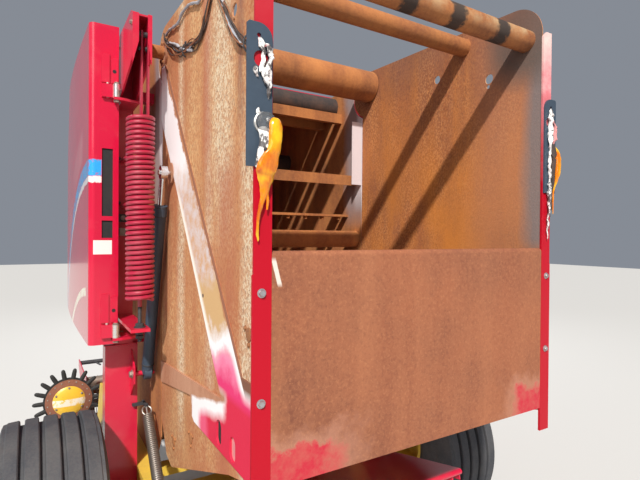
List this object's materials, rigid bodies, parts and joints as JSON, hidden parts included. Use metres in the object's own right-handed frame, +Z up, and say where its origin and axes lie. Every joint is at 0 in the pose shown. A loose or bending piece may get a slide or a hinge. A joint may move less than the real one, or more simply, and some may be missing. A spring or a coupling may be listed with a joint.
{
  "type": "round baler, drawn, burnt out, with an open rear",
  "caption": "Drawn round baler after a fire: rusted tailgate on lift cylinders, hinged side shields, tension springs, tined pickup, ribbed tyres and a drawbar on a parking jack.",
  "frame": {"origin": "on the ground, at the middle of the overall length and width", "axes": "+Z up, +Y forward to the hitch, +X to the machine's right"},
  "size_m": [2.51, 4.33, 2.7899],
  "materials": {
    "red_paint": "scorched gloss red paint",
    "yellow_paint": "yellow chassis paint",
    "dark_paint": "dark paint",
    "rusted_sheet": "sheet steel burnt bare and rusted",
    "burnt_steel": "steel burnt bare and rusted",
    "scorched_steel": "scorched rolls",
    "worn_steel": "worn bare steel",
    "dark_steel": "dark steel",
    "bare_spring": "bare spring wire",
    "chrome_rod": "cylinder rod",
    "black_plastic": "guard plastic",
    "rubber_black": "rubber fingers",
    "tyre_rubber": "implement tyre"
  },
  "bodies": {
    "frame": {"chassis": "yellow_paint", "axle": "yellow_paint", "drawbar": "yellow_paint", "hitch_clevis": "dark_steel", "jack": "dark_steel", "wall_left": "burnt_steel", "wall_right": "burnt_steel", "frame_beams": "burnt_steel", "chamber_rolls": "scorched_steel", "hood": "red_paint", "net_box": "red_paint", "front_panel": "red_paint", "post_left": "red_paint", "post_right": "red_paint", "tension_spring_left": "red_paint", "tension_spring_right": "red_paint", "ramp": "red_paint", "ramp_springs": "bare_spring", "gearbox": "dark_steel", "drive_chain": "dark_steel"},
    "tailgate": {"gate_side_left": "rusted_sheet", "gate_side_right": "rusted_sheet", "gate_flange_left": "red_paint", "gate_flange_right": "red_paint", "gate_panel": "rusted_sheet", "gate_beams": "burnt_steel", "gate_rolls": "scorched_steel", "lamp_left": "dark_paint", "lamp_right": "dark_paint"},
    "barrel_left": {"barrel_left": "dark_paint"},
    "barrel_right": {"barrel_right": "dark_paint"},
    "rod_left": {"rod_left": "chrome_rod"},
    "rod_right": {"rod_right": "chrome_rod"},
    "shield_left": {"shield_left": "red_paint"},
    "shield_right": {"shield_right": "red_paint"},
    "wheel_left": {"rim_left": "yellow_paint", "tyre_left": "tyre_rubber"},
    "wheel_right": {"rim_right": "yellow_paint", "tyre_right": "tyre_rubber"},
    "pickup": {"pickup_frame": "red_paint", "stripper_bands": "worn_steel", "windguard": "dark_paint"},
    "reel": {"tine_reel": "worn_steel"},
    "gather_left": {"gather_wheel_left": "rubber_black"},
    "gather_right": {"gather_wheel_right": "rubber_black"},
    "driveline": {"driveline": "black_plastic"}
  },
  "joints": [
    {"name": "tailgate_lift", "type": "hinge", "parent": "frame", "child": "tailgate", "pos_m": [0, -0.97, 2.66], "axis": [-1, 0, 0], "range_deg": [0, 55]},
    {"name": "barrel_left_swing", "type": "hinge", "parent": "frame", "child": "barrel_left", "pos_m": [-0.637, -0.8, 1.12], "axis": [1, 0, 0], "range_deg": [0, 15]},
    {"name": "rod_left_slide", "type": "slide", "parent": "barrel_left", "child": "rod_left", "axis": [0, -0.3162, 0.9487], "range_m": [0, 0.52]},
    {"name": "shield_left_hinge", "type": "hinge", "parent": "frame", "child": "shield_left", "pos_m": [-0.8, -0.92, 2], "axis": [0, 0, 1], "range_deg": [0, 85]},
    {"name": "wheel_left_spin", "type": "hinge", "parent": "frame", "child": "wheel_left", "pos_m": [-1.055, -0.92, 0.5], "axis": [-1, 0, 0], "continuous": true},
    {"name": "gather_left_spin", "type": "hinge", "parent": "pickup", "child": "gather_left", "pos_m": [-0.915, 0.32, 0.69], "axis": [0, 1, 0], "continuous": true},
    {"name": "barrel_right_swing", "type": "hinge", "parent": "frame", "child": "barrel_right", "pos_m": [0.637, -0.8, 1.12], "axis": [1, 0, 0], "range_deg": [0, 15]},
    {"name": "rod_right_slide", "type": "slide", "parent": "barrel_right", "child": "rod_right", "axis": [0, -0.3162, 0.9487], "range_m": [0, 0.52]},
    {"name": "shield_right_hinge", "type": "hinge", "parent": "frame", "child": "shield_right", "pos_m": [0.8, -0.92, 2], "axis": [0, 0, -1], "range_deg": [0, 85]},
    {"name": "wheel_right_spin", "type": "hinge", "parent": "frame", "child": "wheel_right", "pos_m": [1.055, -0.92, 0.5], "axis": [-1, 0, 0], "continuous": true},
    {"name": "gather_right_spin", "type": "hinge", "parent": "pickup", "child": "gather_right", "pos_m": [0.915, 0.32, 0.69], "axis": [0, 1, 0], "continuous": true},
    {"name": "pickup_lift", "type": "hinge", "parent": "frame", "child": "pickup", "pos_m": [0, 0.115, 0.7], "axis": [-1, 0, 0], "range_deg": [0, 12]},
    {"name": "reel_spin", "type": "hinge", "parent": "pickup", "child": "reel", "pos_m": [0, 0.67, 0.53], "axis": [-1, 0, 0], "continuous": true},
    {"name": "driveline_spin", "type": "hinge", "parent": "frame", "child": "driveline", "pos_m": [0, 1.38, 1.06], "axis": [0, 1, 0], "continuous": true}
  ],
  "couplings": [
    {"joint": "barrel_left_swing", "follows": "tailgate_lift", "ratio": 0.25572},
    {"joint": "rod_left_slide", "follows": "tailgate_lift", "m_per_rad": 0.49938},
    {"joint": "barrel_right_swing", "follows": "tailgate_lift", "ratio": 0.25572},
    {"joint": "rod_right_slide", "follows": "tailgate_lift", "m_per_rad": 0.49938}
  ]
}
